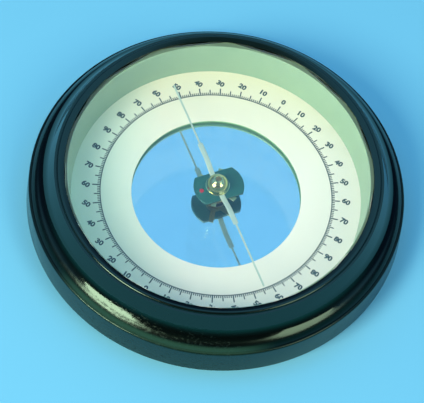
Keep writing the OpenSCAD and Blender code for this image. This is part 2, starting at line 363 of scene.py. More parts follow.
# %% Finishes of two tones
def two_toned(material, tree, share, tones, shine, height=None, rise=0.0):
    """Completes the material and returns it. share mixes the tones, height makes a bump of rise
    millimetres, and shine holds the shader's other sockets."""
    colour = add(tree, "ShaderNodeMix", {0: share, 6: linear(tones[0]), 7: linear(tones[1])},
                 data_type="RGBA")
    shader = add(tree, "ShaderNodeBsdfPrincipled", {"Base Color": colour.outputs[2], **shine})
    if rise:
        bump = add(tree, "ShaderNodeBump", {"Height": height, "Distance": rise * MM})
        tree.links.new(bump.outputs["Normal"], shader.inputs["Normal"])
    add(tree, "ShaderNodeOutputMaterial", {"Surface": shader.outputs[0]})
    return material


def mottled_finish(name, tones, size, shine, rise=0.0, **noise):
    """Finish of two tones. size is that of the mottles and rise the height of their bump, both
    in millimetres, shine the shader's other sockets, and noise those of the noise."""
    material, tree, place = new_finish(name)
    mottles = add(tree, "ShaderNodeTexNoise",
                  {"Vector": place, "Scale": per(size), **noise}).outputs["Fac"]
    return two_toned(material, tree, mottles, tones, shine, mottles, rise)


# %% [markdown]
# ## The case
#
# The case is moulded in black phenolic plastic and polished. The surface mirrors its
# surroundings at about five in a hundred when seen straight on, and more at a glance, so most of
# what the eye sees on it is the pale floor and the lamps. A moulded surface is never quite even:
# it undulates a little over some ten millimetres, and handling leaves fine scuffs, most of all
# on the side where the box is picked up. The scuffs run along the rim, as a cloth or a thumb does.
# They are bumps and dull spots, because they only show in reflections. The lower half of the
# moulding's bulge is rubbed through its polished skin, so it reflects less. On the worn side an
# olive colour is painted there: partly the dull rubbed plastic, partly a painted sheen that stands
# in for the blurred reflection of the left lamp. Where that is follows from two things: the side
# of the box, and the distance from its axis.

# %% Ways of reading the place
RIM_R = 75


def rolled_out(tree, place, drawn):
    """The place on a round piece as (way round the rim, distance from the axis, height). The way
    round is the angle times RIM_R, times drawn, which stretches a pattern by 1 / drawn along
    the rim."""
    split = add(tree, "ShaderNodeSeparateXYZ", {0: place})
    angle = add(tree, "ShaderNodeMath", {0: split.outputs[1], 1: split.outputs[0]},
                operation="ARCTAN2")
    way = add(tree, "ShaderNodeMath", {0: angle.outputs[0], 1: RIM_R * MM * drawn},
              operation="MULTIPLY")
    level = add(tree, "ShaderNodeCombineXYZ", {0: split.outputs[0], 1: split.outputs[1]})
    out = add(tree, "ShaderNodeVectorMath", {0: level.outputs[0]}, operation="LENGTH")
    rolled = add(tree, "ShaderNodeCombineXYZ",
                 {0: way.outputs[0], 1: out.outputs["Value"], 2: split.outputs[2]})
    return rolled.outputs[0]


def band(tree, distance, middle, half, edge):
    """1 where a distance lies within half millimetres of middle, and 0 from edge millimetres
    further out."""
    off = add(tree, "ShaderNodeMath", {0: distance, 1: middle * MM}, operation="SUBTRACT")
    apart = add(tree, "ShaderNodeMath", {0: off.outputs[0]}, operation="ABSOLUTE")
    inside = add(tree, "ShaderNodeMapRange",
                 {"Value": apart.outputs[0], "From Min": (half + edge) * MM,
                  "From Max": half * MM}, interpolation_type="SMOOTHSTEP")
    return inside.outputs["Result"]


# %% [markdown]
# The bulge and the rubbed part of it are bands about the axis: the radius of the middle, half the
# width and the width of the soft edge, in millimetres. The worn side is a direction. The wear
# starts, and is full, where the place lies that share of WORN_R along it.

# %% Polished black phenolic
SCUFFS_DRAWN = 0.45
BULGE = (79.4, 2.5, 1.0)
RUBBED = (79.3, 0.4, 1.1)
WORN_AZIMUTH = math.radians(12.5)
WORN_R = 78
WORN_FROM, WORN_FULL = 0.79, 0.93
BULGE_DULLER = 0.12
SCUFFS_DULLER = 0.25
SHINE = 0.5
SHINE_LOST = 0.35


def phenolic_finish(name, ripple, scuffed, roughness):
    """Polished phenolic. ripple is the height of the moulding's undulation in millimetres,
    scuffed the height of the scuffs on the worn side, and roughness the range of the polish."""
    material, tree, place = new_finish(name)
    rolled = rolled_out(tree, place, SCUFFS_DRAWN)
    waves = add(tree, "ShaderNodeTexNoise", {"Vector": place, "Scale": per(9), "Detail": 1.0})
    scuffs = add(tree, "ShaderNodeTexNoise",
                 {"Vector": rolled, "Scale": per(0.8), "Detail": 2.0, "Roughness": 0.6})
    worn = side_share(tree, place, WORN_AZIMUTH, WORN_R, WORN_FROM, WORN_FULL,
                      interpolation_type="SMOOTHSTEP")
    from_axis = add(tree, "ShaderNodeSeparateXYZ", {0: rolled}).outputs[1]
    bulge = band(tree, from_axis, *BULGE)
    rubbed = band(tree, from_axis, *RUBBED)
    wear_and_sheen = add(tree, "ShaderNodeMath", {0: rubbed, 1: worn}, operation="MULTIPLY")
    shine = add(tree, "ShaderNodeMath", {0: rubbed, 1: -SHINE_LOST, 2: SHINE},
                operation="MULTIPLY_ADD")
    scuff_height = add(tree, "ShaderNodeMath", {0: scuffs.outputs["Fac"], 1: worn},
                       operation="MULTIPLY")
    uneven = add(tree, "ShaderNodeBump",
                 {"Height": waves.outputs["Fac"], "Distance": ripple * MM})
    scuffed_bump = add(tree, "ShaderNodeBump",
                       {"Height": scuff_height.outputs["Value"], "Distance": scuffed * MM,
                        "Normal": uneven.outputs["Normal"]})
    haze = add(tree, "ShaderNodeTexNoise", {"Vector": place, "Scale": per(4), "Detail": 5.0})
    polish = add(tree, "ShaderNodeMapRange",
                 {"Value": haze.outputs["Fac"], "From Min": 0.3, "From Max": 0.7,
                  "To Min": roughness[0], "To Max": roughness[1]})
    dull = add(tree, "ShaderNodeMapRange",
               {"Value": scuff_height.outputs[0], "From Min": 0.52, "From Max": 0.7,
                "To Max": SCUFFS_DULLER})
    unscuffed = add(tree, "ShaderNodeMath",
                    {0: bulge, 1: BULGE_DULLER, 2: polish.outputs["Result"]},
                    operation="MULTIPLY_ADD")
    rough = add(tree, "ShaderNodeMath", {0: unscuffed.outputs[0], 1: dull.outputs["Result"]})
    dust = add(tree, "ShaderNodeTexNoise", {"Vector": place, "Scale": per(0.7), "Detail": 2.0})
    specks = add(tree, "ShaderNodeMapRange",
                 {"Value": dust.outputs["Fac"], "From Min": 0.70, "From Max": 0.80})
    speckled = add(tree, "ShaderNodeMix",
                   {0: specks.outputs["Result"], 6: linear("#040908"), 7: linear("#182220")},
                   data_type="RGBA")
    # Painted sheen: the olive tone on the rubbed band of the worn side stands in for the blurred
    # reflection of the left lamp.
    colour = add(tree, "ShaderNodeMix",
                 {0: wear_and_sheen.outputs[0], 6: speckled.outputs[2], 7: linear("#2E4B3A")},
                 data_type="RGBA")
    shader = add(tree, "ShaderNodeBsdfPrincipled",
                 {"Base Color": colour.outputs[2], "Roughness": rough.outputs[0],
                  "IOR": 1.63, "Specular IOR Level": shine.outputs[0],
                  "Specular Tint": linear("#D1FFE9"),
                  "Normal": scuffed_bump.outputs["Normal"]})
    add(tree, "ShaderNodeOutputMaterial", {"Surface": shader.outputs[0]})
    return material


case_finish = phenolic_finish("polished_phenolic", 0.02, 0.035, (0.05, 0.11))

# %% [markdown]
# The section of the case starts at its foot, goes up the slightly tapered skirt and round the
# shoulder, and drops into a fine groove. From there a moulding swells outwards and then hollows
# inwards, an ogee, and a straight sloping wall ends under the top ring. The way back down is the
# socket for the glass, the well, the floor and the hollow under the rim. Such a section could be
# drawn as a curve and spun with a modifier. Turning an array keeps every arc a true arc and
# lets the steps be as fine as the polish needs.

# %% Case: section
WALL_T = 2.7
FOOT_ROUND = 0.3
SKIRT_TAPER = 0.65
SKIRT_TOP_R = FOOT_R - SKIRT_TAPER
SHOULDER_ROUND = 1.0
SHOULDER_END = 84
SHOULDER_Z = 12.1
SHOULDER = np.array([SKIRT_TOP_R - SHOULDER_ROUND, SHOULDER_Z])
GROOVE = np.array([-0.1, SHOULDER_ROUND - 0.05])
BEAD_ROUND = 6.8
BEAD_FOOT_ANGLE = 20
OGEE_ANGLE = 59
COVE_ROUND = 11
WALL_ANGLE = 25
WALL_TOP = 26.35
COUNTERBORE_R = 68.45
COUNTERBORE_Z = 23.55
FLOOR_GAP = 0.6
HOLE_R = 1.6
HOLE_HEAD_R = 3.1
COUNTERSINK = (FLOOR_GAP + 0.1, 2.2)
CHANNEL_LOWER = 1
BEAD_THICKER = 0.4
CHANNEL_TOP_W = 0.9


def ray(angle):
    """Unit vector at an angle in degrees."""
    return np.array([math.cos(math.radians(angle)), math.sin(math.radians(angle))])


BEAD_FOOT = SHOULDER + GROOVE
BEAD_CENTRE = BEAD_FOOT - BEAD_ROUND * ray(BEAD_FOOT_ANGLE)
OGEE = BEAD_CENTRE + BEAD_ROUND * ray(OGEE_ANGLE)
COVE_CENTRE = OGEE + COVE_ROUND * ray(OGEE_ANGLE)
WALL_FOOT = COVE_CENTRE - COVE_ROUND * ray(WALL_ANGLE)
WALL_TOP_R = WALL_FOOT[0] - (WALL_TOP - WALL_FOOT[1]) * math.tan(math.radians(WALL_ANGLE))
TUB_R = SOCKET_R + WALL_T
CHANNEL_R = FOOT_R - WALL_T
CHANNEL_PEAK = WALL_FOOT[1] - WALL_T
CHANNEL = [
    (CHANNEL_R, 0), (CHANNEL_R, FLOOR_GAP),
    (SKIRT_TOP_R - WALL_T, SHOULDER_Z - CHANNEL_LOWER),
    OGEE - (WALL_T + BEAD_THICKER) * ray(OGEE_ANGLE),
    (TUB_R + CHANNEL_TOP_W, CHANNEL_PEAK), (TUB_R, CHANNEL_PEAK),
]


def case_section():
    """Closed section of the case: foot, skirt, shoulder, ogee, wall, socket, floor and hollow."""
    foot = (FOOT_R - FOOT_ROUND, FOOT_ROUND)
    outside = chain(
        arc(foot, FOOT_ROUND, -90, 0, 6),
        arc(SHOULDER, SHOULDER_ROUND, 0, SHOULDER_END, 14),
        arc(BEAD_CENTRE, BEAD_ROUND, BEAD_FOOT_ANGLE, OGEE_ANGLE, 26),
        arc(COVE_CENTRE, -COVE_ROUND, OGEE_ANGLE, WALL_ANGLE, 26)[1:],
        (WALL_TOP_R, WALL_TOP),
    )
    inside = chain(
        (COUNTERBORE_R, WALL_TOP), (COUNTERBORE_R, COUNTERBORE_Z), (SOCKET_R, COUNTERBORE_Z),
        (SOCKET_R, FLOOR_TOP), (HOLE_R, FLOOR_TOP), (HOLE_R, COUNTERSINK[1]),
        (HOLE_HEAD_R, COUNTERSINK[0]), (HOLE_HEAD_R, FLOOR_GAP), (TUB_R, FLOOR_GAP),
    )
    return chain(outside, inside, CHANNEL[::-1])


RIBS = 12
RIB_T = 1.6
RIB_GROWN = 0.3


def rib_shells():
    """The ribs in the hollow under the rim: the hollow's own outline, grown a little into the
    walls, as a plate of thickness RIB_T that stands across the hollow at equal angles."""
    outline = chain((TUB_R, FLOOR_GAP), *CHANNEL[1:])
    away = np.sign(outline - outline.mean(axis=0))
    outline = outline + RIB_GROWN * away * [1, 0]
    outline[[0, 1], 1] = FLOOR_GAP
    plate = np.stack([np.insert(outline, 1, side * RIB_T, axis=1) for side in (-0.5, 0.5)])
    shell = grid(capped(plate), along=False)
    return spun(shell, (np.arange(RIBS) + 0.5) * 360 / RIBS)


case = piece("case_moulding", joined(grid(turned(case_section())), rib_shells()))
seat(case, "case", "case_black", case_finish, "case_body")

# %% [markdown]
# ## The top ring
#
# A second moulding closes the box: a ring with a rounded crest, a lip that slopes down over the
# edge of the glass and a sleeve inside the case. The crest and the lip's edge are circles, and
# the straight slope between them is their common tangent, so the section needs only two centres.
# The crest rises straight out of the case's flat end face.

# %% Top ring
CREST_ROUND = 1.2
CREST = (68.0, RING_TOP - CREST_ROUND)
LIP_R = 65.7
LIP_ROUND = 0.25
LIP_UNDER = 26.0
LIP = (LIP_R + LIP_ROUND, LIP_UNDER + LIP_ROUND)
SLEEVE_R = 67.3
SLEEVE_OUT_R = 68.4
SLEEVE_FOOT = 23.6


def ring_section():
    """Closed section of the top ring, from the sleeve round the crest to the lip."""
    start = math.degrees(math.asin((WALL_TOP - CREST[1]) / CREST_ROUND))
    lean = common_tangent(CREST, CREST_ROUND, LIP, LIP_ROUND, left=False)
    return chain(
        (SLEEVE_R, LIP_UNDER), (SLEEVE_R, SLEEVE_FOOT), (SLEEVE_OUT_R, SLEEVE_FOOT),
        (SLEEVE_OUT_R, WALL_TOP),
        arc(CREST, CREST_ROUND, start, lean, 28),
        arc(LIP, LIP_ROUND, lean, 270, 14),
    )


ring_finish = phenolic_finish("polished_phenolic_ring", 0.008, 0.01, (0.12, 0.22))
seat(piece("closing_ring", grid(turned(ring_section()))), "case", "ring_black", ring_finish,
     "top_ring")

# %% [markdown]
# ## The glass and its seal
#
# The cover is window glass that was cut to a polygon by hand, so straight cuts show where a
# drilled disc would show a circle. Its corners were nipped back to fit the socket, and black
# sealing compound fills the gaps. A polygon's edge lies at the distance apothem / cos(angle from
# the middle of the side), and the nipped corners at one radius, so the smaller of the two gives
# both outlines as one formula. The cut edge is broken by a fine arris. A real pane lets the
# lamps shine through, but in a render refracting glass shades what lies under it, so the cover
# is set to cast no shadow.

# %% Cover glass
SIDES = 13
CORNER_R = 67.4
NIPPED_R = 67.0
CORNER_AT = math.radians(7.5)
APOTHEM = CORNER_R * math.cos(math.pi / SIDES)
ARRIS = 0.2
WAVE = 0.03
PINHOLE_R = 0.001
SIDE_COLUMNS = 36
cut_angle = CORNER_AT + np.linspace(0, 2 * math.pi, SIDES * SIDE_COLUMNS, endpoint=False)


def cut_outline(angle, inset=0.0):
    """Distance of the glass's edge from the axis at each angle, less an inset."""
    side = 2 * math.pi / SIDES
    from_middle = (angle - CORNER_AT) % side - side / 2
    return np.minimum((APOTHEM - inset) / np.cos(from_middle), NIPPED_R - inset)


def glass_points():
    """Rows of the cover from the middle of its underside round the cut edge to the middle of
    its top. The cut waves inwards by up to four times WAVE, as a nipped edge does. A pinhole of
    PINHOLE_R, too small to see, is left in the middle of both faces."""
    wave = WAVE * np.sin(37 * cut_angle) + WAVE * np.sin(61 * cut_angle + 1)
    insets = [APOTHEM - PINHOLE_R, ARRIS, 0.0, 0.0, ARRIS, APOTHEM - PINHOLE_R]
    heights = [GLASS_FOOT, GLASS_FOOT, GLASS_FOOT + ARRIS, GLASS_TOP - ARRIS, GLASS_TOP, GLASS_TOP]
    rows = []
    for inset, height in zip(insets, heights):
        r = cut_outline(cut_angle, inset) - (wave + 2 * WAVE) * (inset <= ARRIS)
        rows.append(about_axis(r, cut_angle, height))
    return np.array(rows)


def glass_finish(name, tint):
    """Clear float glass, faintly green from its iron."""
    material, tree, _ = new_finish(name)
    shader = add(tree, "ShaderNodeBsdfPrincipled",
                 {"Base Color": linear(tint), "Roughness": 0.0, "IOR": 1.52,
                  "Transmission Weight": 1.0})
    add(tree, "ShaderNodeOutputMaterial", {"Surface": shader.outputs[0]})
    return material


clear_finish = glass_finish("float_glass", "#F4FCF8")
cover = seat(piece("cut_glass", grid(glass_points(), along=False), sharp=20), "case",
             "clear_glass", clear_finish, "glass_cover")
cover.visible_shadow = False

# %% [markdown]
# The compound was pressed in with a blade. Its surface is dull, a little lumpy, and climbs where
# it wets the glass and the socket. It sticks to the cut edge, and no air is left between them.
# So its inner face is drawn just inside the glass: with a gap there, the edge would shine like
# a mirror from inside and hide the black behind it.

# %% Sealing compound
SEAL_LAP = 0.15
SEAL_CLIMBS = 0.1
SEAL_SAGS = 0.15
SEAL_OVER_GLASS = 0.05
LUMP = 0.04


def seal_points():
    """Closed section between the cut glass and the socket, at every angle. The top sags between
    its two edges as a parabola in the share of the way across, plus small lumps."""
    share = np.linspace(0, 1, 9)[:, None]
    inner = cut_outline(cut_angle) - SEAL_LAP
    r = inner + share * (SOCKET_R - inner)
    lumps = LUMP * np.sin(23 * cut_angle + 5 * share) * np.sin(41 * cut_angle - 9 * share)
    sag = (SEAL_CLIMBS + SEAL_SAGS) * (2 * share - 1) ** 2 - SEAL_SAGS
    top = np.minimum(SEAL_TOP + sag + lumps, GLASS_TOP + SEAL_OVER_GLASS)
    upper = about_axis(r, cut_angle, top)
    lower = upper[::-1].copy()
    lower[..., 2] = GLASS_FOOT
    return np.concatenate([upper, lower])


# Bituminous compound: nearly black and half dull, with lumps that catch the light.
bitumen = mottled_finish("bitumen_seal", ("#040909", "#0C1614"), 0.8, {"Roughness": 0.35},
                         rise=0.08, Detail=3.0)
seat(piece("sealing_compound", grid(seal_points())), "case", "seal_black", bitumen,
     "glass_seal")

# %% [markdown]
# ## The wall ring
#
# A pale moulded ring lines the well and carries the glass. It is satin, not glossy. Seen through
# the glass it looks dull and green, more than the glass alone would tint it, and that is painted
# shade of the well, drawn into its colour.

# %% Wall ring
LINER_FOOT_R = 62.5
LINER_TOP_R = 64.4
LINER_T = 1.3
WEB_FOOT_OUT = 0.3
WEB_TOP_IN = 0.2
LINER_EDGE = 0.3
LINER_EDGE_END = 174


def liner_section():
    """Closed C-shaped section: a sloping web between a foot flange and a top flange."""
    out_r = radius_of("wall_ring")
    low, high = SCALE_TOP, GLASS_FOOT
    return chain(
        (LINER_FOOT_R, low), (out_r, low), (out_r, low + LINER_T),
        (LINER_FOOT_R + LINER_T + WEB_FOOT_OUT, low + LINER_T),
        (LINER_TOP_R + LINER_T - WEB_TOP_IN, high - LINER_T),
        (out_r, high - LINER_T), (out_r, high),
        arc((LINER_TOP_R + LINER_EDGE, high - LINER_EDGE), LINER_EDGE, 90, LINER_EDGE_END, 6),
    )


def liner_finish():
    """Moulded polystyrene, satin, with faint flow marks. Its grey-green is painted shade of the
    well on the pale moulding.
    """
    material, tree, place = new_finish("satin_polystyrene")
    flow = add(tree, "ShaderNodeTexNoise", {"Vector": place, "Scale": per(14), "Detail": 2.0})
    grain = add(tree, "ShaderNodeTexNoise", {"Vector": place, "Scale": per(0.5), "Detail": 2.0})
    # The grey-green tones are painted shade of the well.
    return two_toned(material, tree, flow.outputs["Fac"], ("#86A68B", "#92AE92"),
                     {"Roughness": 0.42}, grain.outputs["Fac"], rise=0.01)


seat(piece("well_lining", grid(turned(liner_section()))), "case", "liner_white", liner_finish(),
     "wall_ring")

# %% [markdown]
# ## The scale ring
#
# The ring is punched from sheet and enamelled white. Towards the far side a cream tone is painted
# on it, painted light where the lamps fall, and towards the left a mint tone, painted shadow of
# the wall. Only its face is white: the cut and the back show the green primer, and the mirror
# under the ring shows both. Where a finish changes at a known height, the height is enough to
# tell the two apart. The ring lies flat on the mirror's glass, so its back is drawn just inside
# the glass.

# %% Scale ring
HOLE_IN_SCALE_R = 36.6
PUNCHED = 0.15
IN_GLASS = 0.02
LIT_SIDE = AZIMUTH + math.radians(190)
SHADED_SIDE = AZIMUTH + math.radians(285)
ENAMEL_R = 60


def scale_section():
    """Closed section of the plate with small round edges at the hole."""
    low, high, hole = MIRROR_TOP - IN_GLASS, SCALE_TOP, HOLE_IN_SCALE_R
    return chain(
        (SCALE_R, low), (SCALE_R, high),
        arc((hole + PUNCHED, high - PUNCHED), PUNCHED, 90, 180, 6),
        arc((hole + PUNCHED, low + PUNCHED), PUNCHED, 180, 270, 6),
    )


def enamel_finish():
    """Stoved enamel, near white. The cream towards the far side is painted light, and the mint
    towards the left is painted shadow of the wall.
    """
    material, tree, place = new_finish("stoved_enamel")
    # Painted light and shade: cream where the lamps fall on the far side, mint where the left wall
    # casts its shadow.
    lit_share = side_share(tree, place, LIT_SIDE, ENAMEL_R, 0.2, 1.0, most=0.85)
    shaded_share = side_share(tree, place, SHADED_SIDE, ENAMEL_R, 0.3, 1.1, most=0.8)
    lit_tone = add(tree, "ShaderNodeMix",
               {0: lit_share, 6: linear("#E9E5DE"), 7: linear("#E1DBC0")}, data_type="RGBA")
    both = add(tree, "ShaderNodeMix",
               {0: shaded_share, 6: lit_tone.outputs[2], 7: linear("#A9DCC8")}, data_type="RGBA")
    height = add(tree, "ShaderNodeSeparateXYZ", {0: place}).outputs[2]
    unpainted = add(tree, "ShaderNodeMath", {0: height, 1: (SCALE_TOP - PUNCHED) * MM},
                    operation="LESS_THAN")
    colour = add(tree, "ShaderNodeMix",
                 {0: unpainted.outputs["Value"], 6: both.outputs[2], 7: linear("#7FB07C")},
                 data_type="RGBA")
    peel = add(tree, "ShaderNodeTexNoise", {"Vector": place, "Scale": per(1.2), "Detail": 2.0})
    bump = add(tree, "ShaderNodeBump", {"Height": peel.outputs["Fac"], "Distance": 0.01 * MM})
    shader = add(tree, "ShaderNodeBsdfPrincipled",
                 {"Base Color": colour.outputs[2], "Roughness": 0.38,
                  "Normal": bump.outputs["Normal"]})
    add(tree, "ShaderNodeOutputMaterial", {"Surface": shader.outputs[0]})
    return material


seat(piece("degree_plate", grid(turned(scale_section()))), "case", "scale_white",
     enamel_finish(), "scale_ring")

# %% [markdown]
# ## The printed marks
#
# The print is one fine circle, a mark at every degree, longer at five and ten, and a numeral at
# every ten, counted from zero to ninety and back in each quadrant. All numerals stand upright.
# An image would blur, so the ink is a layer of real, very thin solids. One small box is made for
# each length of mark, and all its copies are placed together.

# %% Ink
INK_UNDER = SCALE_TOP - 0.02
INK_TOP = SCALE_TOP + 0.025
CIRCLE_R = 50.0
CIRCLE_W = 0.4
MARK_LENGTHS = {1: 1.25, 5: 2.7, 10: 3.5}
MARK_WIDTHS = {1: 0.44, 5: 0.5, 10: 0.54}
ZERO_AT = 90


def block(length, width):
    """A thin box of ink that starts on the circle and runs outwards along X."""
    half = width / 2
    square = [(-half, INK_UNDER), (half, INK_UNDER), (half, INK_TOP), (-half, INK_TOP)]
    ends = [np.insert(square, 0, x, axis=1) for x in (CIRCLE_R, CIRCLE_R + length)]
    return grid(capped(np.array(ends)), along=False)


def marks():
    """All marks of the scale and the circle that they stand on."""
    degrees = np.arange(360)
    tens, fives = degrees % 10 == 0, degrees % 5 == 0
    groups = {10: degrees[tens], 5: degrees[fives & ~tens], 1: degrees[~fives]}
    shells = [spun(block(MARK_LENGTHS[k], MARK_WIDTHS[k]), group) for k, group in groups.items()]
    circle = flat_ring(CIRCLE_R - CIRCLE_W / 2, CIRCLE_R + CIRCLE_W / 2, INK_UNDER, INK_TOP)
    return joined(grid(turned(circle)), *shells)


# Screen ink: dark green-grey, with the slight unevenness of a rubbed-in print.
ink = mottled_finish("screen_ink", ("#062321", "#183632"), 1.5, {"Roughness": 0.55})
seat(piece("degree_marks", marks()), "case", "scale_white", ink)

# %% [markdown]
# The numerals are plain grotesque figures. Blender's own font gives their outlines. Each label is
# made as text, turned into a mesh and read back as arrays, and its copies are placed by adding
# their centres, since nothing is turned.

# %% Numerals
NUMERAL_R = 56.2
NUMERAL_H = 2.55
NUMERAL_W = 1.1
NUMERAL_BOLD = 0.05
LABEL_T = 1.0


def label_mesh(label):
    """Vertices and faces of a label in the font's own units, LABEL_T thick about height 0."""
    curve = bpy.data.curves.new("label", "FONT")
    curve.body = label
    curve.offset = NUMERAL_BOLD
    curve.extrude = LABEL_T / 2
    curve.resolution_u = 4
    text = placed("label", curve)
    mesh = bpy.data.meshes.new_from_object(text)
    points = np.zeros(len(mesh.vertices) * 3)
    mesh.vertices.foreach_get("co", points)
    points = points.reshape(-1, 3)
    faces = [list(face.vertices) for face in mesh.polygons]
    bpy.data.objects.remove(text)
    bpy.data.curves.remove(curve)
    bpy.data.meshes.remove(mesh)
    return points, faces


def numeral_labels():
    """Vertices and faces of all the numerals, scaled so that the zero is NUMERAL_H tall. A
    numeral n stands at n degrees on both sides of both zeros, and equal places count once."""
    zero, _ = label_mesh("0")
    tall = np.ptp(zero[:, 1])
    level = (zero[:, 1].max() + zero[:, 1].min()) / 2
    vertices, faces = [], []
    for n in range(0, 100, 10):
        points, shapes = label_mesh(str(n))
        across = (points[:, 0].max() + points[:, 0].min()) / 2
        points = (points - [across, level, 0]) * NUMERAL_H / tall * [NUMERAL_W, 1, 1]
        points[:, 2] = np.where(points[:, 2] > 0, INK_TOP, INK_UNDER)
        for at in sorted({at % 360 for at in (n, -n, 180 - n, 180 + n)}):
            angle = math.radians(ZERO_AT + at)
            centre = np.array([math.cos(angle), math.sin(angle), 0]) * NUMERAL_R
            start = sum(len(v) for v in vertices)
            vertices.append(points + centre)
            faces += [[i + start for i in shape] for shape in shapes]
    return np.concatenate(vertices), faces


def numerals():
    """Object that holds every numeral."""
    vertices, faces = numeral_labels()
    mesh = bpy.data.meshes.new("numerals")
    mesh.from_pydata((vertices * MM).tolist(), [], faces)
    return placed("numerals", mesh)


seat(numerals(), "case", "scale_white", ink)

# %% [markdown]
# ## The mirror
#
# The mirror lets the user line the pointer up with its image, so that it is read from straight
# above. It is glass silvered on its back, and so the image lies deeper than the glass's face, as it
# does in any real mirror. The silver is a thin disc whose face lies just inside the disc of clear
# glass, since no air is between them.

# %% Mirror
SILVER_T = 0.06
SILVER_SUNK = 0.04
MIRROR_R = radius_of("mirror_disc")
MIRROR_HOLE_R = 2.2

# Silver seen through glass: bright, faintly clouded, and blue only from what it mirrors.
silver = mottled_finish("silvering", ("#DCE9F2", "#E9F2F7"), 12,
                        {"Metallic": 1.0, "Roughness": 0.015}, Detail=3.0)
silver_section = flat_ring(MIRROR_HOLE_R, MIRROR_R, MIRROR_FOOT, MIRROR_FOOT + SILVER_T)
pane_foot = MIRROR_FOOT + SILVER_T - SILVER_SUNK
pane_section = flat_ring(MIRROR_HOLE_R, MIRROR_R, pane_foot, MIRROR_TOP)
seat(piece("mirror_silvering", grid(turned(silver_section))), "case", "mirror_glass", silver,
     "mirror_disc")
pane = seat(piece("mirror_pane", grid(turned(pane_section))), "case", "mirror_glass",
            glass_finish("mirror_glass", "#F2FAFA"))
pane.visible_shadow = False

# %% [markdown]
# ## Metals of the needle and the pivot
#
# The turned parts are brass, the clip is thin brass sheet, the pointer is matt anodised aluminium
# and the magnet is ground steel, blackened. A metal's colour is the colour of its reflection, and
# the marks of the tool decide how that reflection is drawn out. Turned brass has rings about the
# axis, and rolled or ground metal has streaks along one direction. Both are noise that is
# stretched, and the rings need only the distance from the axis. The film of the anodising and
# the blackening are dull coats over the metal, so those two finishes are only part metal.

# %% Metal finishes
POINTER_AT = math.radians(143.4)
RINGS_APART = 0.3
RING_DEPTH = 0.004
STREAK_DRAWN = 40
STREAK_DEPTH = 0.006


def turned_finish(name, tones, rough):
    """Metal turned on a lathe: noise rolled out round the axis and drawn out along the cut, so
    that it makes rings RINGS_APART millimetres apart."""
    material, tree, place = new_finish(name)
    rings = add(tree, "ShaderNodeTexNoise",
                {"Vector": rolled_out(tree, place, 0.0), "Scale": per(RINGS_APART),
                 "Detail": 2.0})
    stain = add(tree, "ShaderNodeTexNoise", {"Vector": place, "Scale": per(2.5), "Detail": 3.0})
    return two_toned(material, tree, stain.outputs["Fac"], tones,
                     {"Metallic": 1.0, "Roughness": rough}, rings.outputs["Fac"], RING_DEPTH)


def streaked_finish(name, tones, rough, along, streak, metallic=1.0):
    """Sheet or bar with streaks along an angle: noise squeezed to streak millimetres across that
    direction and drawn out STREAK_DRAWN times along it."""
    material, tree, place = new_finish(name)
    lined = add(tree, "ShaderNodeMapping", {"Vector": place, "Rotation": (0, 0, -along)})
    drawn = add(tree, "ShaderNodeMapping",
                {"Vector": lined.outputs[0], "Scale": (1 / STREAK_DRAWN, 1, 1)})
    streaks = add(tree, "ShaderNodeTexNoise",
                  {"Vector": drawn.outputs[0], "Scale": per(streak), "Detail": 2.0}).outputs["Fac"]
    return two_toned(material, tree, streaks, tones,
                     {"Metallic": metallic, "Roughness": rough}, streaks, STREAK_DEPTH)


turned_brass = turned_finish("turned_brass", ("#D2BC78", "#AE9A5A"), 0.28)
polished_brass = turned_finish("polished_brass", ("#E4E3B6", "#CBC68C"), 0.18)
ground_steel = turned_finish("ground_steel", ("#C4CACC", "#9AA3A6"), 0.2)
sheet_brass = streaked_finish("rolled_brass", ("#C4C79A", "#9CA070"), 0.4, POINTER_AT, 0.3)
aluminium = streaked_finish("matt_anodised_aluminium", ("#C2D4CB", "#A6BAB0"), 0.42,
                            POINTER_AT, 0.25, metallic=0.3)
blackened = streaked_finish("blackened_steel", ("#1A6258", "#10473F"), 0.42,
                            POINTER_AT + math.pi / 2, 0.4, metallic=0.2)
print("six metal finishes")

# %% [markdown]
# ## The magnet
#
# The magnet is a short bar with straight sides and round ends, and its middle lies a little off
# the pivot. Its outline is a circle of radius R about a point that lies s below the pivot, cut
# off at half the width w on both sides. Seen from the pivot, the circle's edge lies at
# sqrt(R^2 - (s cos angle)^2) - s sin angle and the cut at w / |cos angle|, and the smaller of
# the two is the outline. Taking a little off R and w gives the outline of the broken edges.

# %% Magnet
MAGNET_HALF_L = 10.9
MAGNET_HALF_W = 6.9
MAGNET_SHIFT = 0.7
MAGNET_TOP = top_of("magnet_bar")
MAGNET_FOOT = foot_of("magnet_bar")
HUB_R = 2.4
BROKEN = 0.15
EASED = 0.04
NEARLY_ZERO = 1e-9


def outline_angles(steps):
    """Angles round the pivot that hit the four corners of the bar, with steps between them."""
    end = math.sqrt(MAGNET_HALF_L ** 2 - MAGNET_HALF_W ** 2)
    low = math.atan2(-end - MAGNET_SHIFT, MAGNET_HALF_W)
    high = math.atan2(end - MAGNET_SHIFT, MAGNET_HALF_W)
    corners = [low, high, math.pi - high, math.pi - low, 2 * math.pi + low]
    runs = [np.linspace(a, b, steps, endpoint=False) for a, b in zip(corners, corners[1:])]
    return np.concatenate(runs)


def magnet_outline(angle, inset):
    """Distance of the bar's edge from the pivot at each angle, less an inset. NEARLY_ZERO keeps
    the cut's formula from dividing by zero."""
    across = MAGNET_SHIFT * np.cos(angle)
    round_end = np.sqrt((MAGNET_HALF_L - inset) ** 2 - across ** 2) - MAGNET_SHIFT * np.sin(angle)
    straight = (MAGNET_HALF_W - inset) / np.maximum(np.abs(np.cos(angle)), NEARLY_ZERO)
    return np.minimum(round_end, straight)


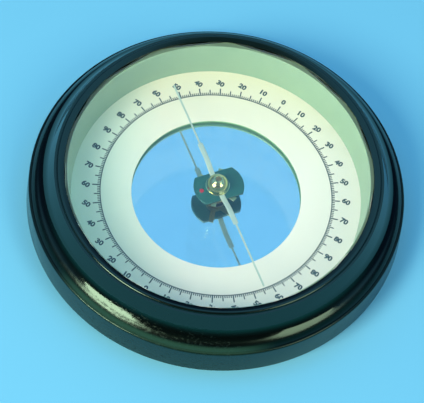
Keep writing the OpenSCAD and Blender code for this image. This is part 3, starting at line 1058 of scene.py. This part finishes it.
def magnet_points():
    """Closed rows from the hole over the top, the broken edge, the side and the underside."""
    angle = outline_angles(40)
    hole = np.full(len(angle), HUB_R)
    broken, eased, full = (magnet_outline(angle, inset) for inset in (BROKEN, EASED, 0.0))
    low, high = MAGNET_FOOT, MAGNET_TOP
    rows = [
        (hole, low), (hole, high), (broken, high), (eased, high - EASED), (full, high - BROKEN),
        (full, low + BROKEN), (eased, low + EASED), (broken, low),
    ]
    return np.array([about_axis(r, angle, z) for r, z in rows])


def on_needle(shell):
    """The shell turned from the needle's own axes, where X is the pointer, to its rest."""
    c, s = math.cos(POINTER_AT), math.sin(POINTER_AT)
    turn = np.array([[c, s, 0], [-s, c, 0], [0, 0, 1]])
    return shell[0] @ turn, shell[1]


seat(piece("bar_magnet", on_needle(grid(magnet_points())), sharp=50), "needle", "magnet_steel",
     blackened, "magnet_bar")

# %% [markdown]
# A drop of red enamel marks one pole. It has dried as a shallow round cap.

# %% Pole mark
MARK_OFFSET = 7.3
MARK_R = 1.0
DROP_H = 0.16
DROP_SUNK = 0.03
DROP_WAVERS = 0.05


def enamel_drop():
    """Shallow drop: the height is that of the middle times the root of 1 - share squared, where
    share is the share of the way to the rim. The rim wavers by a small share of its radius."""
    share = np.linspace(0, 1, 14)[:, None]
    angle = np.linspace(0, 2 * math.pi, 48, endpoint=False)
    wavering = 1 + DROP_WAVERS * np.sin(3 * angle + 1)
    r = MARK_R * share * wavering
    z = MAGNET_TOP + DROP_H * np.sqrt(1 - share ** 2)
    upper = about_axis(r, angle, z) + [0, MARK_OFFSET, 0]
    under = upper[-1:] * [1, 1, 0] + [0, 0, MAGNET_TOP - DROP_SUNK]
    middle = under * 0 + [0, MARK_OFFSET, MAGNET_TOP - DROP_SUNK]
    return grid(np.concatenate([upper, under, middle]), along=False)


# Brushing enamel: glossy red, a little uneven in tone.
red = mottled_finish("red_enamel", ("#AA0506", "#8C0406"), 0.8, {"Roughness": 0.25})
seat(piece("red_pole_mark", on_needle(enamel_drop())), "needle", "red_enamel", red,
     "pole_mark")

# %% [markdown]
# ## The pointer
#
# The pointer is stamped from aluminium strip. It lies flat on the magnet under the cap, is
# cranked up on both sides, and runs on level, broad at first and then as a thin arm. Its width
# and its height are both functions of the distance from the axis, and its section is slightly
# crowned, as rolled strip is. One grid runs from end to end, and a ring of the same sheet goes
# round the hub, under the cap's rim.

# %% Pointer
POINTER_FOOT = foot_of("pointer")
POINTER_T = 0.3
POINTER_RISE = top_of("pointer") - POINTER_T - POINTER_FOOT
POINTER_L = 52.8
CRANK = (6.5, 13.2)
STEP_R = 21.1
STEP_L = 0.05
TIP_L = 0.4
BROAD, THIN, TIP = 1.15, 0.425, 0.02
WIDTH_AT = [0, STEP_R, STEP_R + STEP_L, POINTER_L - TIP_L, POINTER_L]
HALF_WIDTHS = [BROAD, BROAD, THIN, THIN, TIP]
BOSS_R = 5.0
BOSS_THINNER = 0.02
CROWN = 0.05
BEND_OVER = 0.5


def crank_height(x):
    """Rise of the strip at the distance x from the axis: straight between the two bends. The
    mean over BEND_OVER millimetres to each side rounds the bends."""
    near = np.abs(x)[..., None] + np.linspace(-BEND_OVER, BEND_OVER, 5)
    return np.interp(near, CRANK, (0, POINTER_RISE)).mean(axis=-1)


def pointer_points():
    """Rows along the strip, each a flat ring of points: the top is crowned by a parabola."""
    x = np.unique(np.concatenate([
        np.linspace(-POINTER_L, POINTER_L, 240),
        *[sign * np.array(WIDTH_AT) for sign in (-1, 1)],
    ]))[:, None]
    half = np.interp(np.abs(x), WIDTH_AT, HALF_WIDTHS)
    across = np.array([-1, -0.8, -0.4, 0, 0.4, 0.8, 1, 0.8, 0, -0.8])
    upper = np.array([0, 1, 1, 1, 1, 1, 0, -1, -1, -1])
    middle = POINTER_FOOT + POINTER_T / 2 + crank_height(x)
    thick = POINTER_T / 2 - CROWN * across ** 2
    z = middle + np.where(upper == 0, 0, upper * thick) + 0 * x
    y = across * half
    return np.stack([x + 0 * y, y, z], axis=-1)


strip = grid(capped(pointer_points()), along=False)
boss_top = POINTER_FOOT + POINTER_T - BOSS_THINNER
boss = grid(turned(flat_ring(HUB_R, BOSS_R, POINTER_FOOT, boss_top), 96))
seat(piece("long_pointer", on_needle(joined(strip, boss))), "needle", "pointer_aluminium",
     aluminium, "pointer")

# %% [markdown]
# ## The cap
#
# The cap is turned from brass and polished: a thin rim, a dome that is nearly half a sphere, and
# a low collar that holds the agate. The dome's radius follows from its foot and its height, as
# (foot^2 + height^2) / (2 height).

# %% Cap and agate
CAP_R = radius_of("bearing_cap")
CAP_FOOT = foot_of("bearing_cap")
RIM_T = 0.3
RIM_W = 0.3
DOME_R = CAP_R - RIM_W
DOME_H = 4.85
DOME_ROUND = (DOME_R ** 2 + DOME_H ** 2) / (2 * DOME_H)
DOME_TOP = CAP_FOOT + RIM_T + DOME_H
DOME_CENTRE = DOME_TOP - DOME_ROUND
DOME_T = 0.5
COLLAR_R = 1.9
COLLAR_TOP = top_of("bearing_cap")
COLLAR_FILLET = 0.12
COLLAR_ROUND = 0.2
BORE_ROUND = 0.15
JEWEL_R = 1.35
JEWEL_FOOT = foot_of("cap_jewel")
JEWEL_TOP = top_of("cap_jewel")
JEWEL_ROUND = 0.2
JEWEL_CROWN = [(JEWEL_R - JEWEL_ROUND, 0.1), (0.8, 0.05), (0.4, 0.01), (0, 0)]
CUP_R = 0.9
CUP_DEEP = 1.05


def on_sphere(radius, r):
    """Angle, in degrees, at which a sphere about DOME_CENTRE has the distance r from the axis."""
    return math.degrees(math.acos(r / radius))


def cap_section():
    """Closed section: rim, dome, collar and bore, and the hollow under the dome."""
    centre = (0, DOME_CENTRE)
    rim = arc((CAP_R - RIM_T / 2, CAP_FOOT + RIM_T / 2), RIM_T / 2, -90, 90, 10)
    foot = math.degrees(math.asin((CAP_FOOT + RIM_T - DOME_CENTRE) / DOME_ROUND))
    dome = arc(centre, DOME_ROUND, foot, on_sphere(DOME_ROUND, COLLAR_R + COLLAR_FILLET), 30)
    collar = chain(
        (COLLAR_R, dome[-1][1] + COLLAR_FILLET),
        arc((COLLAR_R - COLLAR_ROUND, COLLAR_TOP - COLLAR_ROUND), COLLAR_ROUND, 0, 90, 7),
        arc((JEWEL_R + BORE_ROUND, COLLAR_TOP - BORE_ROUND), BORE_ROUND, 90, 180, 6),
        (JEWEL_R, JEWEL_FOOT), (COLLAR_R, JEWEL_FOOT),
    )
    inner = DOME_ROUND - DOME_T
    low = math.degrees(math.asin((CAP_FOOT - DOME_CENTRE) / inner))
    hollow = arc(centre, inner, on_sphere(inner, COLLAR_R), low, 20)
    return chain(rim, dome, collar, hollow)


def jewel_section():
    """Section of the agate from the axis to the axis: the cup underneath, the side, a rounded
    edge and a slightly domed top. JEWEL_CROWN has the points of the top as distances from the
    axis and depths below the middle."""
    edge_r, edge_down = JEWEL_CROWN[0]
    return chain(
        (0, JEWEL_FOOT + CUP_DEEP), (CUP_R, JEWEL_FOOT), (JEWEL_R, JEWEL_FOOT),
        arc((edge_r, JEWEL_TOP - edge_down - JEWEL_ROUND), JEWEL_ROUND, 0, 90, 6),
        *[(r, JEWEL_TOP - down) for r, down in JEWEL_CROWN[1:]],
    )


def agate_finish():
    """Polished brown agate: bands that wander through the stone, under a clear polish."""
    material, tree, place = new_finish("brown_agate")
    bands = add(tree, "ShaderNodeTexWave",
                {"Vector": place, "Scale": per(6), "Distortion": 6.0, "Detail": 3.0})
    return two_toned(material, tree, bands.outputs["Fac"], ("#4A4216", "#6E6230"),
                     {"Roughness": 0.15, "IOR": 1.54})


seat(piece("brass_cap", grid(turned(cap_section(), 160))), "needle", "polished_brass",
     polished_brass, "bearing_cap")
seat(piece("agate_bearing", grid(turned(jewel_section(), 96), along=False)), "needle", "agate",
     agate_finish(), "cap_jewel")

# %% [markdown]
# ## Pieces kept from the frame
#
# The clip, the hub, its spacer and the parts of the pivot hide under the magnet, and show only
# beside it and as an image in the mirror. The packing lies under the mirror, out of sight. The
# solids of all these are true as they are, and only get a finish.

# %% Kept pieces
# Felt: short matted fibres. Vulcanised fibre: dull, with short dark hairs.
felt = mottled_finish("green_felt", ("#2C4A33", "#4E7356"), 0.4, {"Roughness": 0.95},
                      rise=0.1, Detail=6.0, Distortion=1.5)
fibre = mottled_finish("vulcanised_fibre", ("#4A4030", "#6B5C44"), 0.5, {"Roughness": 0.7},
                       Detail=5.0)
KEPT = {
    "mirror_packing": felt,
    "post_washer": fibre,
    "pivot_screw": turned_brass,
    "pivot_post": turned_brass,
    "pivot_point": ground_steel,
    "hub_tube": turned_brass,
    "hub_spacer": turned_brass,
    "magnet_clip": sheet_brass,
}
for node, finish in KEPT.items():
    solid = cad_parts[node]
    solid.data.materials.clear()
    solid.data.materials.append(finish)
print("kept from the frame:", ", ".join(KEPT))

# %% [markdown]
# ## Floor, surroundings and lamps
#
# The floor is a plain pale blue sheet, large enough to fill the picture.

# %% Floor
FLOOR_HALF = 3000.0
FLOOR_UNDER = -0.02


def floor_sheet():
    """A level square, just under the foot of the case."""
    mesh = bpy.data.meshes.new("floor")
    square = np.array([(-1, -1), (1, -1), (1, 1), (-1, 1)]) * FLOOR_HALF
    corners = np.insert(square, 2, FLOOR_UNDER, axis=1)
    mesh.from_pydata((corners * MM).tolist(), [], [(0, 1, 2, 3)])
    material, tree, _ = new_finish("pale_floor")
    shader = add(tree, "ShaderNodeBsdfPrincipled",
                 {"Base Color": linear("#88DEFC"), "Roughness": 0.9, "Specular IOR Level": 0.1})
    add(tree, "ShaderNodeOutputMaterial", {"Surface": shader.outputs[0]})
    mesh.materials.append(material)
    return placed("floor", mesh)


floor_sheet()
print("floor", 2 * FLOOR_HALF, "mm square")

# %% [markdown]
# A polished black case is mostly an image of the room, so the room is made with care. On the
# camera's side it has the tone of the floor low down and fades to nearly black half way up, which
# keeps the case black. On the far side it is dark low down and sky blue high up, and that is what
# the mirror shows to the camera. Overhead both sides meet in a dim blue-grey. The stops are given
# by the height above the horizon, as the sine of the elevation.

# %% Surroundings
BEHIND_CAMERA = direction(AZIMUTH, 0).tolist()
WALL_LIGHT = 1.7
FAR_UP_TO, NEAR_FROM = -0.3, 0.6
NEAR_WALL = {0.0: "#3F9EAE", 0.12: "#338693", 0.33: "#244B52", 0.52: "#19191C", 0.7: "#22282A",
             0.87: "#38483B", 1.0: "#42606C"}
FAR_WALL = {0.0: "#0E1B33", 0.35: "#16284A", 0.66: "#73ADDA", 0.97: "#73ADDA", 1.0: "#42606C"}


def faded(tree, height, stops):
    """Colour that runs through the stops as the height, the sine of the elevation, grows."""
    ramp = add(tree, "ShaderNodeValToRGB", {"Fac": height})
    elements = ramp.color_ramp.elements
    elements.remove(elements[1])
    elements[0].position = 0.0
    for at, colour in stops.items():
        stop = elements[0] if at == 0.0 else elements.new(at)
        stop.color = linear(colour)
    return ramp.outputs["Color"]


def surroundings():
    """World that mixes the near and the far wall's colours by how far a direction heads back
    past the camera: the cosine of the angle between their headings, smoothed."""
    world = bpy.data.worlds.new("studio")
    world.use_nodes = True
    tree = world.node_tree
    tree.nodes.clear()
    towards = add(tree, "ShaderNodeTexCoord").outputs["Generated"]
    height = add(tree, "ShaderNodeSeparateXYZ", {0: towards}).outputs[2]
    level = add(tree, "ShaderNodeVectorMath", {0: towards, 1: (1, 1, 0)}, operation="MULTIPLY")
    heading = add(tree, "ShaderNodeVectorMath", {0: level.outputs[0]}, operation="NORMALIZE")
    facing = add(tree, "ShaderNodeVectorMath", {0: heading.outputs[0], 1: BEHIND_CAMERA},
                 operation="DOT_PRODUCT")
    near = add(tree, "ShaderNodeMapRange",
               {"Value": facing.outputs["Value"], "From Min": FAR_UP_TO,
                "From Max": NEAR_FROM},
               interpolation_type="SMOOTHSTEP")
    colour = add(tree, "ShaderNodeMix",
                 {0: near.outputs["Result"], 6: faded(tree, height, FAR_WALL),
                  7: faded(tree, height, NEAR_WALL)}, data_type="RGBA")
    light = add(tree, "ShaderNodeBackground",
                {"Color": colour.outputs[2], "Strength": WALL_LIGHT})
    add(tree, "ShaderNodeOutputWorld", {"Surface": light.outputs[0]})
    return world


bpy.context.scene.world = surroundings()
print("the walls have", len(NEAR_WALL), "and", len(FAR_WALL), "stops")

# %% [markdown]
# Two large soft lamps stand in front, one on each side, the left one stronger. Their power is
# worked out from the light that they should throw on the level dial, so that a colour renders
# about as it is written. Their size is worked out from how wide they should look from the
# instrument, in degrees, since that sets how broad their streaks on the case are.

# %% Lamps
LAMP_DISTANCE = 1.6
LAMP_WIDE = 23
LAMP_SIDE = 2 * LAMP_DISTANCE * math.tan(math.radians(LAMP_WIDE / 2))


def lamp(name, aside, elevation, share, colour):
    """Square soft box that stands aside degrees from the camera and gives a level surface that
    share of the light at which white renders white: power = share pi^2 d^2 / sin(elevation)."""
    back = direction(AZIMUTH + math.radians(aside), math.radians(elevation))
    data = bpy.data.lights.new(name, "AREA")
    data.shape = "SQUARE"
    data.size = LAMP_SIDE
    data.energy = share * math.pi ** 2 * LAMP_DISTANCE ** 2 / back[2]
    data.color = linear(colour)[:3]
    level, upright = level_axes(back)
    return aimed(name, data, level, upright, back, back * LAMP_DISTANCE)


lamp("left_lamp", -48, 39, 0.45, "#FFF8E0")
lamp("right_lamp", 59, 43, 0.155, "#FFF8E0")
print("each lamp is", round(LAMP_SIDE, 2), "m square")

# %% [markdown]
# ## Last step
#
# The view transform is set so that colours show as they are written.

# %% Finish
bpy.context.scene.view_settings.view_transform = "Standard"
